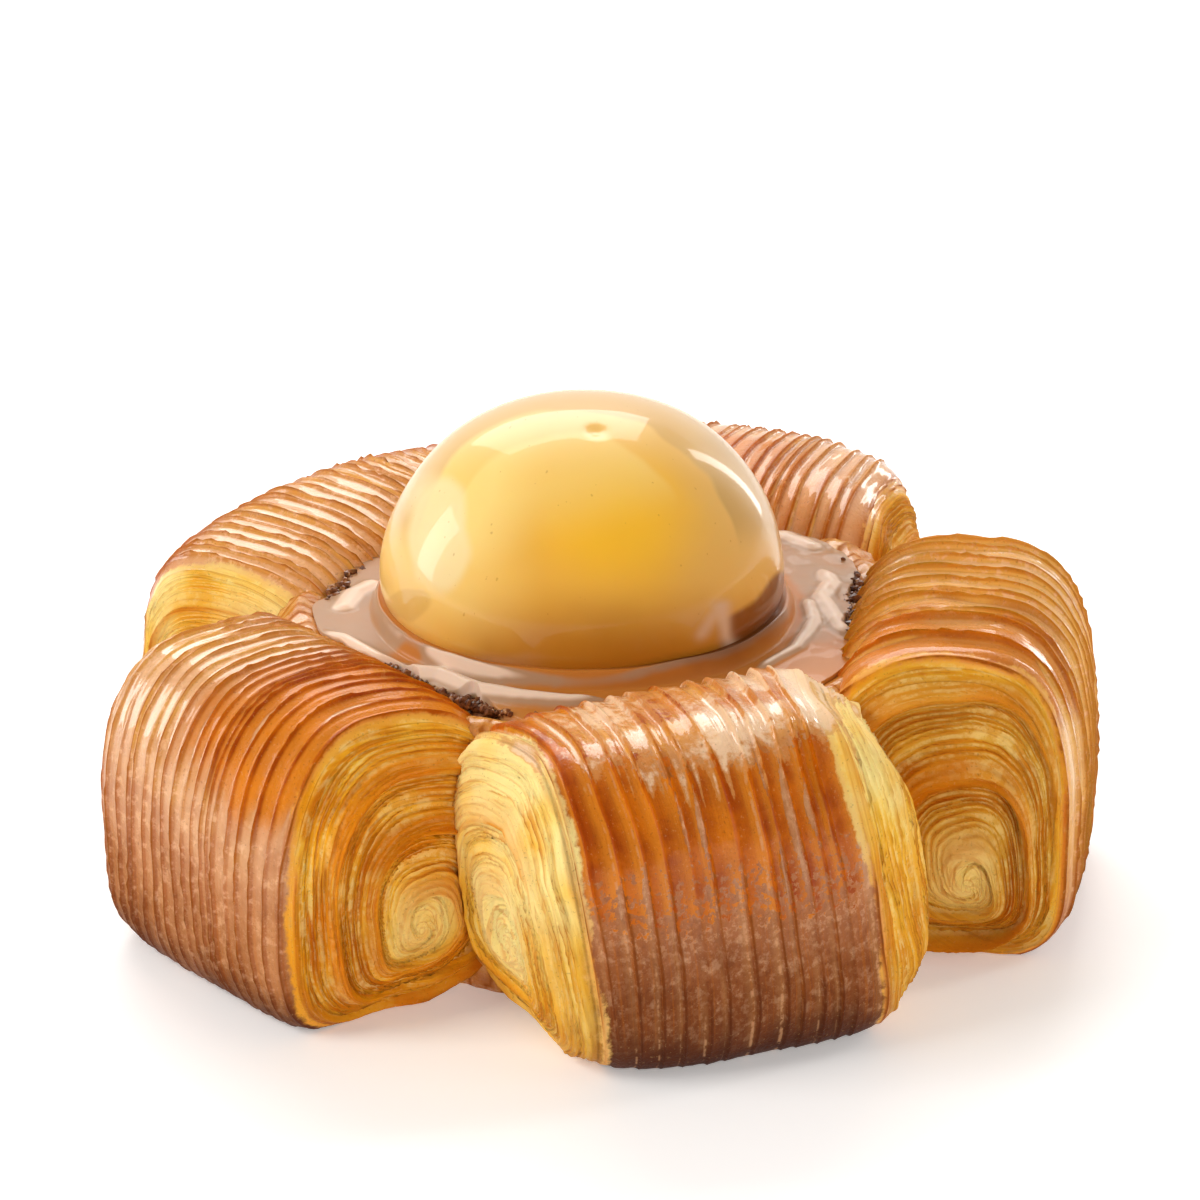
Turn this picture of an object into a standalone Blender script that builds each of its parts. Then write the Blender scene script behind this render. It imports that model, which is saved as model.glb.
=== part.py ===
"""Flower croissant: five rolled lobes of laminated dough round a filled well, with a round dome on top.

Frame: +Z up, metres. The origin is at the middle of the flower on the flat underside, z = 0.
The front lobe points towards -Y.
"""

import math

import bmesh
import bpy
import numpy as np

MM = 0.001

# Every lobe is a short roll lying across its own direction. For each one:
#   turn    direction of the lobe from the middle, in degrees from +X
#   length  length of the ridged roll between its two end faces
#   bend    radius of the curve that the roll follows round the flower
#   crest   radius of the highest line of the roll, and its height
#   outer   largest radius of the roll
#   belly   height at which the roll is widest
#   ends    bulge of the clockwise and of the anticlockwise end face
#   rounds  how full each bulge is (1 is the plain curve, less is fuller)
#   flare   how far the inner side of the roll spreads along it at each end
#   corners share that the rounding takes off the roll at each end
#   shift   sideways offset along the roll
#   lean    sideways lean of the top against the bottom
#   tilt    share by which the anticlockwise end is higher than the middle
#   taper   share by which the roll narrows at its two ends
#   foot    squareness of the lower outer corner (a superellipse exponent)
LOBES = {
    "front": dict(turn=-72, length=34, bend=400, crest=(45, 38.6), outer=58, belly=15,
                  ends=(5.5, 8), rounds=(0.7, 0.8), flare=(5, 3), corners=(0.03, 0.06),
                  shift=-2.4, lean=-2.5, tilt=0.035, taper=0.06, foot=3.2),
    "right": dict(turn=-9, length=37, bend=400, crest=(45, 38.6), outer=58.5, belly=12,
                  ends=(2.5, 4), rounds=(1, 1), flare=(3.5, 2.5), corners=(0.10, 0.10),
                  shift=-1, lean=0, tilt=0, taper=0.06, foot=3.4),
    "back_right": dict(turn=66, length=38, bend=400, crest=(47, 37.5), outer=57, belly=17,
                       ends=(4, 4), rounds=(1, 1), flare=(3, 2.5), corners=(0.10, 0.10),
                       shift=0, lean=0, tilt=0, taper=0.12, foot=3),
    "back_left": dict(turn=140, length=50, bend=80, crest=(45, 35.5), outer=56.5, belly=17,
                      ends=(4, 4), rounds=(1, 1), flare=(2, 3), corners=(0.10, 0.10),
                      shift=-1, lean=0, tilt=0, taper=0.06, foot=3),
    "front_left": dict(turn=220, length=37, bend=400, crest=(45, 36.5), outer=59, belly=14,
                       ends=(4, 4), rounds=(1, 1), flare=(2.5, 4), corners=(0.10, 0.10),
                       shift=-3, lean=0, tilt=0, taper=0.06, foot=4),
}
LOBE_INNER = 27            # smallest radius of every roll
LOBE_TOP_OUT = 2.7         # squareness of the upper outer shoulder
LOBE_TOP_IN = 3.2          # squareness of the upper inner shoulder
LOBE_FOOT_IN = 2.2
LOBE_SIDES = 34            # points round a roll
LOBE_STATIONS = (-1, -0.93, -0.8, -0.45, 0, 0.45, 0.8, 0.93, 1)   # rings along a roll, of its half length
LOBE_ROUND = 0.8           # where the rounding at the ends of a roll starts
FLARE_BAND = (46, 30)      # radii between which the flare of the inner side grows
LEAN_HEIGHT = 18           # height at which the lean is nothing
END_RINGS = 4              # rings over each end face
END_POWER = 2.8            # flatness of the bulged end faces
SUNK = 1.5                 # how far the rolls reach below the cut underside

# The well in the middle is a rounded pentagon: narrow at the lobes, wide between them.
WELL_NARROW = 30.0
WELL_WIDE = 32.8
WELL_SIDES = 50
WELL_FLOOR = 16
WEB_WALL = 6.5             # dough left round the well between two lobes
WEB_TOP = 33

GAP = 0.3                  # clearance between two pieces that touch
CRUMB_TOP = 31.4           # rim of the chocolate crumb
CRUMB_RIM = 1.7            # width of that rim
POOL_FLOOR = 27.5
POOL_LEVEL = 32.6
POOL_BEAD = 35.2           # raised bead of glaze round the dome
DOME_RADIUS = 23.6
DOME_MIDDLE = (-2, 0)
DOME_FLOOR = 33.0
DOME_WIDEST = 36.5
DOME_TOP = 58
DOME_SIDES = 36
DOME_RINGS = 9


def clear_scene():
    for obj in list(bpy.data.objects):
        bpy.data.objects.remove(obj, do_unlink=True)


def material(name, colour, roughness):
    mat = bpy.data.materials.new(name)
    mat.use_nodes = True
    shader = mat.node_tree.nodes["Principled BSDF"]
    shader.inputs["Base Color"].default_value = (*colour, 1)
    shader.inputs["Roughness"].default_value = roughness
    shader.inputs["Metallic"].default_value = 0
    return mat


def loft(name, rings):
    """A closed body through rings of equal point counts, lowest or first ring first, in millimetres."""
    bm = bmesh.new()
    loops = [[bm.verts.new(tuple(point * MM)) for point in ring] for ring in rings]
    for low, high in zip(loops, loops[1:]):
        for i in range(len(low)):
            j = (i + 1) % len(low)
            bm.faces.new((low[i], low[j], high[j], high[i]))
    bm.faces.new(loops[0][::-1])
    bm.faces.new(loops[-1])
    bmesh.ops.recalc_face_normals(bm, faces=bm.faces)
    mesh = bpy.data.meshes.new(name)
    bm.to_mesh(mesh)
    bm.free()
    mesh.shade_smooth()
    obj = bpy.data.objects.new(name, mesh)
    bpy.context.scene.collection.objects.link(obj)
    return obj


def as_helper(obj):
    obj.hide_render = True
    obj.display_type = "WIRE"
    return obj


def combine(obj, other, operation):
    modifier = obj.modifiers.new(f"{operation.lower()} {other.name}", "BOOLEAN")
    modifier.operation = operation
    modifier.solver = "EXACT"
    modifier.object = other


def roll_section(lobe):
    """Radii and heights round the roll: four superellipse quarters that meet at the crest and the belly."""
    around = np.arange(LOBE_SIDES) * 2 * math.pi / LOBE_SIDES
    c, s = np.cos(around), np.sin(around)
    crest_radius, crest_height = lobe["crest"]
    width = np.where(c >= 0, lobe["outer"] - crest_radius, crest_radius - LOBE_INNER)
    height = np.where(s >= 0, crest_height - lobe["belly"], lobe["belly"] + SUNK)
    outside = np.where(s >= 0, LOBE_TOP_OUT, lobe["foot"])
    inside = np.where(s >= 0, LOBE_TOP_IN, LOBE_FOOT_IN)
    power = 2 / np.where(c >= 0, outside, inside)
    radius = crest_radius + width * np.sign(c) * np.abs(c) ** power
    z = lobe["belly"] + height * np.sign(s) * np.abs(s) ** power
    return radius, z


def smooth(low, high, value):
    """0 at low, 1 at high, 3t^2 - 2t^3 between."""
    t = np.clip((value - low) / (high - low), 0, 1)
    return t * t * (3 - 2 * t)


def roll_ring(lobe, share, along, size):
    """One ring of the roll at a distance along it, drawn in towards the roll's middle line by size."""
    radius, z = roll_section(lobe)
    crest_radius = lobe["crest"][0]
    middle_radius, middle_height = crest_radius - 3, lobe["belly"]
    radius = middle_radius + (radius - middle_radius) * size
    z = (middle_height + (z - middle_height) * size) * (1 + lobe["tilt"] * share)
    flare = lobe["flare"][0 if share < 0 else 1] * share * abs(share)
    along = along + flare * smooth(*FLARE_BAND, radius) + lobe["lean"] * (z - LEAN_HEIGHT) / LEAN_HEIGHT
    swing = along / lobe["bend"]
    reach = lobe["bend"] + radius - crest_radius
    out = crest_radius - lobe["bend"] + reach * np.cos(swing)
    side = reach * np.sin(swing) + lobe["shift"]
    turn = math.radians(lobe["turn"])
    x = math.cos(turn) * out - math.sin(turn) * side
    y = math.sin(turn) * out + math.cos(turn) * side
    return np.stack([x, y, z], axis=1)


def roll_size(lobe, share):
    """Width of the roll at a share of its half length: a slow taper, then rounded shoulders."""
    past = max(0.0, abs(share) - LOBE_ROUND) / (1 - LOBE_ROUND)
    depth = lobe["corners"][0 if share < 0 else 1]
    return 1 - lobe["taper"] * abs(share) ** 3 - depth * past ** 2.5


def roll(name, lobe):
    half = lobe["length"] / 2
    sizes = [0.18 + 0.82 * k / END_RINGS for k in range(END_RINGS)]

    def end_ring(side, size):
        number = 0 if side < 0 else 1
        bulge = lobe["ends"][number] * (1 - size ** END_POWER) ** lobe["rounds"][number]
        return roll_ring(lobe, side, side * (half + bulge), roll_size(lobe, side) * size)

    rings = [end_ring(-1, size) for size in sizes]
    rings += [roll_ring(lobe, share, share * half, roll_size(lobe, share)) for share in LOBE_STATIONS]
    rings += [end_ring(1, size) for size in reversed(sizes)]
    return loft(name, rings)


def well_radius(angle):
    """Radius of the well in one direction: a cosine wave from each lobe to the seam beside it."""
    turns = sorted(lobe["turn"] % 360 for lobe in LOBES.values())
    angle = angle % 360
    for before, after in zip(turns, turns[1:] + [turns[0] + 360]):
        for value in (angle, angle + 360):
            if before <= value < after:
                share = (value - before) / (after - before)
                wave = 0.5 - 0.5 * math.cos(2 * math.pi * share)
                return WELL_NARROW + (WELL_WIDE - WELL_NARROW) * wave
    raise ValueError(angle)


def well_ring(inset, z):
    """The well's outline at a height, moved inwards by inset."""
    angles = [360 * i / WELL_SIDES for i in range(WELL_SIDES)]
    radii = [well_radius(angle) - inset for angle in angles]
    return np.array([(r * math.cos(math.radians(a)), r * math.sin(math.radians(a)), z)
                     for a, r in zip(angles, radii)])


def round_ring(middle, radius, z, sides):
    angles = np.arange(sides) * 2 * math.pi / sides
    return np.stack([middle[0] + radius * np.cos(angles), middle[1] + radius * np.sin(angles),
                     np.full(sides, float(z))], axis=1)


def dough():
    """The rolls, and the web of dough that joins them round the well, cut flat below and open above."""
    web = [well_ring(-WEB_WALL * share, z) for share, z in (
        (0.75, -SUNK), (1.0, 6), (1.0, WEB_TOP - 3), (0.75, WEB_TOP - 0.8), (0.3, WEB_TOP))]
    body = loft("croissant_flower", web)
    for name, lobe in LOBES.items():
        combine(body, as_helper(roll(f"roll_{name}", lobe)), "UNION")
    floor = [round_ring((0, 0), 90, z, 8) for z in (-20, 0)]
    combine(body, as_helper(loft("cut_underside", floor)), "DIFFERENCE")
    well = [well_ring(2.5, WELL_FLOOR), well_ring(0.6, WELL_FLOOR + 2), well_ring(0, WELL_FLOOR + 6),
            well_ring(0, 60)]
    combine(body, as_helper(loft("cut_well", well)), "DIFFERENCE")
    return body


def crumb():
    """Chocolate crumb that fills the well, with a shallow hollow for the glaze."""
    return loft("chocolate_crumb", [
        well_ring(2.5 + GAP, WELL_FLOOR + GAP),
        well_ring(0.6 + GAP, WELL_FLOOR + 2 + GAP),
        well_ring(GAP, WELL_FLOOR + 6 + GAP),
        well_ring(GAP, CRUMB_TOP - 0.6),
        well_ring(GAP + 0.5, CRUMB_TOP),
        well_ring(GAP + CRUMB_RIM, CRUMB_TOP - 0.4),
        well_ring(GAP + CRUMB_RIM + 1.5, POOL_FLOOR),
    ])


def pool():
    """The glaze in that hollow: level outside, then a bead round the foot of the dome."""
    def across(share, z):
        edge = well_ring(2 * GAP + CRUMB_RIM, z)
        circle = round_ring(DOME_MIDDLE, DOME_RADIUS + GAP, z, WELL_SIDES)
        return circle + (edge - circle) * share
    seat = [round_ring(DOME_MIDDLE, DOME_RADIUS + GAP - k, z, WELL_SIDES)
            for k, z in ((0.0, POOL_BEAD - 0.7), (0.1, DOME_FLOOR - GAP))]
    return loft("glaze_pool", [
        well_ring(2 * GAP + CRUMB_RIM + 1.6, POOL_FLOOR + GAP),
        well_ring(2 * GAP + CRUMB_RIM, CRUMB_TOP - 0.4),
        across(1.0, POOL_LEVEL - 0.5),
        across(0.85, POOL_LEVEL),
        across(0.5, POOL_LEVEL + 0.3),
        across(0.3, POOL_BEAD - 0.7),
        across(0.15, POOL_BEAD),
        *seat,
    ])


def dome():
    """Half a ball, a little flattened, on a short straight foot."""
    rings = [round_ring(DOME_MIDDLE, DOME_RADIUS - 0.6, DOME_FLOOR, DOME_SIDES),
             round_ring(DOME_MIDDLE, DOME_RADIUS - 0.1, DOME_FLOOR + 0.8, DOME_SIDES)]
    for k in range(DOME_RINGS):
        lift = math.radians(87 * k / (DOME_RINGS - 1))
        rings.append(round_ring(DOME_MIDDLE, DOME_RADIUS * math.cos(lift),
                                DOME_WIDEST + (DOME_TOP - DOME_WIDEST) * math.sin(lift), DOME_SIDES))
    return loft("dome", rings)


def main():
    clear_scene()
    for make, name, colour, roughness in (
        (dough, "baked dough", (0.50, 0.24, 0.08), 0.4),
        (crumb, "chocolate crumb", (0.035, 0.014, 0.008), 0.7),
        (pool, "caramel glaze", (0.52, 0.33, 0.22), 0.2),
        (dome, "yellow glaze", (0.86, 0.58, 0.20), 0.12),
    ):
        obj = make()
        obj.data.materials.append(material(name, colour, roughness))


main()
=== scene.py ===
import functools
import math

import bpy
import numpy as np
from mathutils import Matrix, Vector


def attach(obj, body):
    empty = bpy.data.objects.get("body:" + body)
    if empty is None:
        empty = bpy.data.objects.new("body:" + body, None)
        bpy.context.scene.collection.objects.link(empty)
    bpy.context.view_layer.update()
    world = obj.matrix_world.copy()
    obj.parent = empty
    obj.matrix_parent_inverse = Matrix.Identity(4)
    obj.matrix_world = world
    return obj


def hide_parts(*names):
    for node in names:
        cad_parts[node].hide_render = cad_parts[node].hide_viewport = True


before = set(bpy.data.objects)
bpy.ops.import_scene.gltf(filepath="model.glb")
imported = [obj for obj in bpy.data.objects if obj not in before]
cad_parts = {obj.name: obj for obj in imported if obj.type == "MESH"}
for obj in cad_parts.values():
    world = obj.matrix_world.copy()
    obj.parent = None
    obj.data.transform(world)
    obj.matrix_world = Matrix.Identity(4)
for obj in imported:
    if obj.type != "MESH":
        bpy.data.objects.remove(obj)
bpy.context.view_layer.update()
mm = 0.001
print("frame loaded")


def hexColour(text):
    # sRGB hex to linear: c/12.92 below 0.04045, else ((c + 0.055)/1.055)^2.4
    values = [int(text[i:i + 2], 16) / 255 for i in (1, 3, 5)]
    return tuple(c / 12.92 if c <= 0.04045 else ((c + 0.055) / 1.055) ** 2.4 for c in values) + (1.0,)


def hashLattice(x, y, z, seed):
    # whole-number lattice points mixed by multiply and shift, giving a value from 0 to 1
    h = (x * 374761393 + y * 668265263 + z * 2147483647 + seed * 1274126177) & 0xFFFFFFFF
    h = ((h ^ (h >> 13)) * 1103515245) & 0xFFFFFFFF
    h = ((h ^ (h >> 16)) * 2654435761) & 0xFFFFFFFF
    return ((h ^ (h >> 15)) & 0xFFFFFF) / 0xFFFFFF


def noise3(x, y, z, seed=0):
    # value noise from -1 to 1: eight lattice values blended with 3t^2 - 2t^3
    x, y, z = np.broadcast_arrays(np.asarray(x, float), np.asarray(y, float), np.asarray(z, float))
    ix, iy, iz = (np.floor(v).astype(np.int64) for v in (x, y, z))
    fx, fy, fz = x - ix, y - iy, z - iz
    fx, fy, fz = (t * t * (3 - 2 * t) for t in (fx, fy, fz))
    total = 0
    for dx in (0, 1):
        for dy in (0, 1):
            for dz in (0, 1):
                weight = (fx if dx else 1 - fx) * (fy if dy else 1 - fy) * (fz if dz else 1 - fz)
                total = total + weight * hashLattice(ix + dx, iy + dy, iz + dz, seed)
    return total * 2 - 1


def cloud(x, y, z, octaves=3, seed=0):
    # octaves of noise3, each twice as fine and half as strong
    total, strength = 0, 0
    for k in range(octaves):
        total = total + noise3(x * 2 ** k, y * 2 ** k, z * 2 ** k, seed + 31 * k) / 2 ** k
        strength += 1 / 2 ** k
    return total / strength


def smooth(low, high, value):
    # 0 below low, 1 above high, 3t^2 - 2t^3 between
    t = np.clip((value - low) / (high - low), 0, 1)
    return t * t * (3 - 2 * t)


def gridFaces(rows, columns, closed=False):
    # quads between neighbouring rows, the last column joined to the first; the last row joins the first when closed
    r, c = np.meshgrid(np.arange(rows if closed else rows - 1), np.arange(columns), indexing="ij")
    r2, c2 = (r + 1) % rows, (c + 1) % columns
    quads = np.stack([r * columns + c, r * columns + c2, r2 * columns + c2, r2 * columns + c], -1)
    return quads.reshape(-1, 4)


def endFans(rows, columns):
    # triangles from the first and the last row to two points that come after the grid's own
    ring, after = np.arange(columns), (np.arange(columns) + 1) % columns
    last = (rows - 1) * columns
    return np.concatenate([
        np.stack([after, ring, np.full(columns, rows * columns)], -1),
        np.stack([ring + last, after + last, np.full(columns, rows * columns + 1)], -1)])


noFaces = np.zeros((0, 3), int)


def makePiece(name, material, points, quads, triangles=noFaces, values={}):
    # points in millimetres; values are named numbers per point, kept as attributes for the material
    mesh, points = bpy.data.meshes.new(name), points.reshape(-1, 3)
    loops = np.concatenate([quads.reshape(-1), triangles.reshape(-1)]).astype(np.int32)
    totals = np.concatenate([np.full(len(quads), 4), np.full(len(triangles), 3)]).astype(np.int32)
    starts = np.concatenate([[0], np.cumsum(totals)[:-1]]).astype(np.int32)
    mesh.vertices.add(len(points))
    mesh.vertices.foreach_set("co", (points * mm).astype(np.float32).reshape(-1))
    mesh.loops.add(len(loops))
    mesh.loops.foreach_set("vertex_index", loops)
    mesh.polygons.add(len(totals))
    mesh.polygons.foreach_set("loop_start", starts)
    mesh.polygons.foreach_set("loop_total", totals)
    mesh.update(calc_edges=True)
    mesh.validate()
    for key, data in values.items():
        layer = mesh.attributes.new(key, "FLOAT", "POINT")
        layer.data.foreach_set("value", np.asarray(data, np.float32).reshape(-1))
    mesh.polygons.foreach_set("use_smooth", np.ones(len(totals), bool))
    piece = bpy.data.objects.new(name, mesh)
    bpy.context.scene.collection.objects.link(piece)
    mesh.materials.append(material)
    return piece


def surfaceNormals(points):
    # cross product of the differences along rows and round columns, made unit length
    along = np.gradient(points, axis=0)
    across = (np.roll(points, -1, axis=1) - np.roll(points, 1, axis=1)) / 2
    normal = np.cross(across, along)
    return normal / np.maximum(np.linalg.norm(normal, axis=2, keepdims=True), 1e-9)


# what these kinds of node are set to unless a call says otherwise
usualSettings = {"Mix": {"data_type": "RGBA"}, "MapRange": {"interpolation_type": "SMOOTHSTEP"}}


def addNode(tree, looks, kind, *inputs, output=None, **settings):
    # One node, of which the wanted output comes back. A kind in capitals is what a Math node does. Inputs fill the
    # sockets that show, in order; settings are the node's options, and sockets by name. A value is a number, a hex
    # colour or its name in looks, the output of another node, or a tuple that describes a node in the same way.
    if kind.isupper():
        kind, settings = "Math", {"operation": kind, **settings}
    node = tree.nodes.new("ShaderNode" + kind)
    settings = {**usualSettings.get(kind, {}), **settings}
    for name in [name for name in settings if hasattr(node, name)]:
        setattr(node, name, settings.pop(name))
    shown = [socket for socket in node.inputs if socket.enabled]
    for socket, value in [*zip(shown, inputs), *((node.inputs[name], value) for name, value in settings.items())]:
        if isinstance(value, tuple) and isinstance(value[0], str):
            value = addNode(tree, looks, *value)
        if isinstance(value, bpy.types.NodeSocket):
            tree.links.new(value, socket)
        else:
            socket.default_value = hexColour(looks.get(value, value)) if isinstance(value, str) else value
    results = [node.outputs[output]] if output else [socket for socket in node.outputs if socket.enabled]
    return results[0] if results else None


def newMaterial(name, looks={}):
    # an empty material, and addNode for its tree and looks
    material = bpy.data.materials.new(name)
    material.use_nodes = True
    material.node_tree.nodes.clear()
    return material, functools.partial(addNode, material.node_tree, looks)


doughLooks = {
    # groove, grooveGold and grooveDark also serve as painted shade in the grooves, peach and goldenLight as painted
    # highlight on the ridge tops
    "peach": "#FFCB9C", "tan": "#D0935A", "orange": "#E0900C", "golden": "#F4B650", "goldenLight": "#FFCB78",
    "mauve": "#BC7648", "torn": "#E2A878", "pit": "#6A300C", "warm": "#B0601C", "brown": "#8C4A20", "dark": "#4E2006",
    "groove": "#BC6410", "grooveGold": "#CC8018", "grooveDark": "#6A2E04",
    # amberLip also serves as painted highlight on the raised lips
    "amberDeep": "#9E3E00", "amber": "#CC6600", "amberLip": "#EE9226",
    # faceLight also serves as painted highlight on leaf edges, faceOrange and faceGap as painted shade in the hollows
    "faceLight": "#FFE696", "faceYellow": "#FFC944", "faceGold": "#F8AC18", "faceOrange": "#D87808",
    # the olive face colour is painted shade for an end face that lies in shadow
    "faceOlive": "#A4722C", "faceBrown": "#9A4E0A", "faceGap": "#A05206",
    "glaze": "#F4CFA8", "glazeThin": "#D8924E", "sugar": "#F0BE82",
    # mm between patches, then detail and roughness of each noise: baking, crumb, blisters, sugar and pinholes
    "noises": ((5.0, 4.0, 0.55), (1.3, 4.0, 0.65), (0.8, 3.0, 0.6), (0.35, 2.0, 0.5)),
}
doughValues = ("rise", "face", "layer", "trough", "orange", "toast", "amber", "glaze", "pale", "blistered", "olive",
               "leaves", "shine")


def bakedDough():
    # Laminated yeast dough, egg-washed and baked: a thin browned crust that is satin on the walls and glossy on the
    # tops where syrup was brushed on, with pale buttery layers where the roll was cut.
    material, add = newMaterial("bakedLaminatedDough", doughLooks)
    rise, face, layer, trough, orange, toast, amber, glaze, pale, blistered, olive, leaves, glossy = (
        add("Attribute", attribute_name=name, output="Fac") for name in doughValues)
    place = add("TexCoord", output="Object")
    baking, fine, blister, speckle = (
        add("TexNoise", Vector=place, Scale=1000 / size, Detail=detail, Roughness=roughness)
        for size, detail, roughness in doughLooks["noises"])
    thin = add("TexNoise", noise_dimensions="1D", W=leaves, Scale=1.6, Detail=3.0, Roughness=0.6)

    def coated(colour, *coats):
        # coats laid over the colour: amount, where it starts and is full, the coat's colour and its greatest share
        for amount, low, high, coat, *share in coats:
            amount = ("MapRange", amount, low, high)
            colour = add("Mix", ("MULTIPLY", amount, *share) if share else amount, colour, coat)
        return colour

    # crust: narrow orange grooves, flanks from golden to tan, mauve brown where they toasted, peach on the tops;
    # blisters where the syrup ends, and pores. Grooves darker and ridge tops lighter by their relief are partly their
    # baked colour, partly painted shade in the grooves and painted highlight on the tops
    toasted = add("ADD", toast, ("MULTIPLY_ADD", baking, 0.5, -0.25))
    sunny = add("ADD", orange, ("MULTIPLY_ADD", baking, 1.2, -0.6), use_clamp=True)
    light = add("MULTIPLY", ("MULTIPLY_ADD", sunny, -0.36, 0.68),
                ("MULTIPLY_ADD", ("MapRange", toasted, 0.0, 1.0), -0.55, 1.0))
    edge = add("MULTIPLY", ("MULTIPLY", amber, ("SUBTRACT", 1.0, amber)), blistered)
    raised = ("MULTIPLY", ("MapRange", toasted, 0.1, 0.7), ("MULTIPLY_ADD", edge, 2.8, 0.12))
    flank = coated(("Mix", sunny, "tan", "orange"), (layer, 0.35, 0.9, "golden", 0.7),
                   (toasted, 0.15, 0.6, ("Mix", sunny, "mauve", "warm")), (toasted, 0.5, 1.0, "brown"),
                   (fine, 0.50, 0.68, "peach", light), (thin, 0.46, 0.34, "groove", 0.35),
                   (amber, 0.0, 0.3, "warm", 0.6), (blister, 0.52, 0.62, "torn", raised),
                   (blister, 0.42, 0.34, "pit", ("MULTIPLY", ("MapRange", toasted, 0.4, 0.9), 0.3)))
    grooves = ("Mix", toasted, coated("groove", (layer, 0.8, 1.3, "grooveGold", 0.7)), "grooveDark")
    tops = coated("peach", (layer, 0.8, 1.3, "goldenLight", 0.6), (toasted, 0.2, 0.8, "tan"))
    # painted shade: the grooves' colour where the relief is low; painted highlight: the tops' colour where it is high
    drum = coated(flank, (rise, 0.50, 0.10, grooves, 0.85), (rise, 0.7, 1.0, tops, light),
                  (toasted, 0.75, 1.6, "dark"))

    # amber syrup that soaked into the upper wall, with paler lips that are partly a painted highlight on the raised
    # edges; it breaks up into blisters at its lower edge
    syrup = coated("amberDeep", (baking, 0.3, 0.7, "amber"), (rise, 0.5, 0.95, "amberLip", 0.6))
    broken = ("ADD", amber, ("MULTIPLY", ("MULTIPLY_ADD", blister, 18.0, -9.0), edge))
    wet = add("MULTIPLY_ADD", ("SUBTRACT", ("MapRange", broken, 0.35, 0.55), amber), blistered, amber)
    torn = ("MULTIPLY", ("MULTIPLY", ("MapRange", fine, 0.44, 0.56), blistered), 0.55)
    drum = coated(("Mix", wet, drum, syrup), (rise, 0.93, 0.97, "torn", torn))

    # cut ends: buttery leaves with pale crumbly edges that are partly a painted highlight; orange and the dark gap
    # colour as painted shade where a turn sinks behind the next and in the hollows under the leaf edges
    crumbs = add("MapRange", fine, 0.40, 0.60)
    lined = add("MULTIPLY_ADD", trough, -0.8, 1.0)
    gaps = add("Mix", pale, "faceGap", "faceOrange")
    gold = coated("faceOrange", (layer, 0.1, 0.9, "faceGold"), (baking, 0.42, 0.68, "faceYellow", 0.5),
                  (pale, 0.0, 0.6, "faceYellow"), (pale, 0.35, 0.9, "faceLight"),
                  (thin, 0.47, 0.38, gaps, ("MULTIPLY", lined, 0.4)),
                  (thin, 0.55, 0.70, "faceLight", ("MULTIPLY", crumbs, 0.3)))
    # painted olive shade on an end face that lies in shadow
    gold = add("Mix", olive, gold, "faceOlive")
    # painted shade in orange where a turn sinks behind the next
    gold = add("Mix", ("MULTIPLY", trough, ("MULTIPLY_ADD", pale, -0.45, 0.85)), gold, "faceOrange")
    gaps = coated(gaps, (pale, 0.6, 1.0, "faceGold", 0.6))
    # pale leaf edges partly a painted highlight; orange and the gap colour low down as painted shade
    ends = coated(gold, (rise, 0.78, 1.0, "faceLight", ("MULTIPLY", ("MULTIPLY_ADD", crumbs, 0.4, 0.1), lined)),
                  (rise, 0.85, 0.35, "faceOrange", ("MULTIPLY_ADD", pale, -0.42, 0.5)),
                  (rise, 0.5, 0.05, gaps, ("MULTIPLY_ADD", ("MapRange", baking, 0.42, 0.62), 0.6, 0.25)),
                  (toasted, 0.2, 1.1, "faceBrown", 0.75))

    # a crumbly rim between crust and ends, darker in its hollows as painted shade, then thin set glaze over the tops,
    # sugar grains and pinholes
    rim = coated("faceBrown", (rise, 0.1, 0.5, "faceOrange"), (rise, 0.5, 0.9, "faceGold", 0.7),
                 (rise, 0.1, 0.7, "faceLight", pale))
    crumbly = add("ADD", face, ("MULTIPLY_ADD", fine, 0.5, -0.25))
    milky = add("ADD", glaze, ("MULTIPLY_ADD", fine, 0.7, -0.35))
    colour = coated(drum, (crumbly, 0.30, 0.48, rim), (crumbly, 0.52, 0.72, ends),
                    (milky, 0.34, 0.46, "glazeThin", 0.65), (milky, 0.52, 0.72, "glaze", 0.8),
                    (speckle, 0.64, 0.72, "sugar", 0.18), (speckle, 0.36, 0.28, "grooveDark", 0.3))

    # the syrup's gloss lies on the ridges and leaves the cut ends dull
    bare = ("SUBTRACT", 1.0, ("MapRange", face, 0.3, 0.9))
    shine = add("MULTIPLY", ("MULTIPLY", glossy, bare), ("MapRange", rise, 0.15, 0.7))
    rough = ("MULTIPLY_ADD", fine, 0.25, ("MULTIPLY_ADD", shine, -0.30, 0.52))
    bump = add("Bump", Strength=0.7, Distance=0.0002, Height=("MULTIPLY", thin, ("MULTIPLY_ADD", face, 0.5, 0.5)))
    bump = add("Bump", Strength=0.8, Distance=0.0002, Height=blister, Normal=bump)
    bump = add("Bump", Strength=0.4, Distance=0.00008, Height=speckle, Normal=bump)
    add("OutputMaterial", add("BsdfPrincipled", **{
        "Base Color": colour, "Roughness": add("SUBTRACT", rough, 0.12, use_clamp=True), "Normal": bump,
        "IOR": 1.32, "Specular IOR Level": 0.2,
        "Coat Weight": ("MULTIPLY", shine, ("MULTIPLY_ADD", wet, -0.55, 1.0)), "Coat Roughness": 0.08, "Coat IOR": 1.6,
        "Subsurface Weight": 0.10, "Subsurface Radius": (1.0, 0.45, 0.15), "Subsurface Scale": 0.0015}))
    return material


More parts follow.
